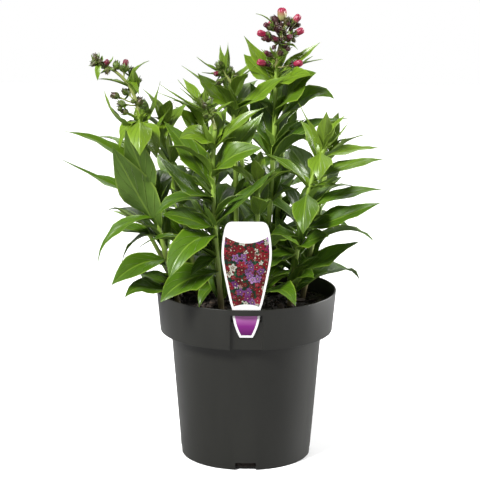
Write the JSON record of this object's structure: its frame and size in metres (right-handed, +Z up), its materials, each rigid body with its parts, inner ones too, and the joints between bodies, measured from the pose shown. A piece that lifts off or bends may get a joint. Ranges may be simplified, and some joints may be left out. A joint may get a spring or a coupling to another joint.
{
  "type": "potted penstemon",
  "caption": "Young bedding penstemon in bud, its leafy stems standing in a round nursery pot with a plant label in the slot of the rim.",
  "frame": {"origin": "centre of the pot's flat underside", "axes": "+Z up along the pot's axis, -Y towards the front, where the label stands"},
  "size_m": [0.248, 0.1924, 0.35],
  "materials": {
    "pot_plastic": "satin",
    "label_plastic": "satin",
    "potting_mix": "matte",
    "leaf": "satin",
    "bud": "satin",
    "petal": "satin"
  },
  "bodies": {
    "root": {"pot": "pot_plastic", "label": "label_plastic", "soil": "potting_mix", "stem_left": "leaf", "stem_front": "leaf", "stem_middle": "leaf", "stem_tall": "leaf", "stem_right": "leaf", "stem_inner": "leaf", "stem_low": "leaf", "stem_short": "leaf", "stem_back_1": "leaf", "stem_back_2": "leaf", "stem_back_3": "leaf", "stem_back_4": "leaf", "stem_back_5": "leaf", "buds_left": "bud", "buds_front": "bud", "buds_middle": "bud", "buds_tall": "bud", "petals_tall_1": "petal", "petals_tall_2": "petal", "petals_tall_3": "petal", "petals_tall_4": "petal", "petals_tall_5": "petal", "petals_tall_6": "petal", "petals_tall_7": "petal", "petals_tall_8": "petal"}
  },
  "joints": []
}
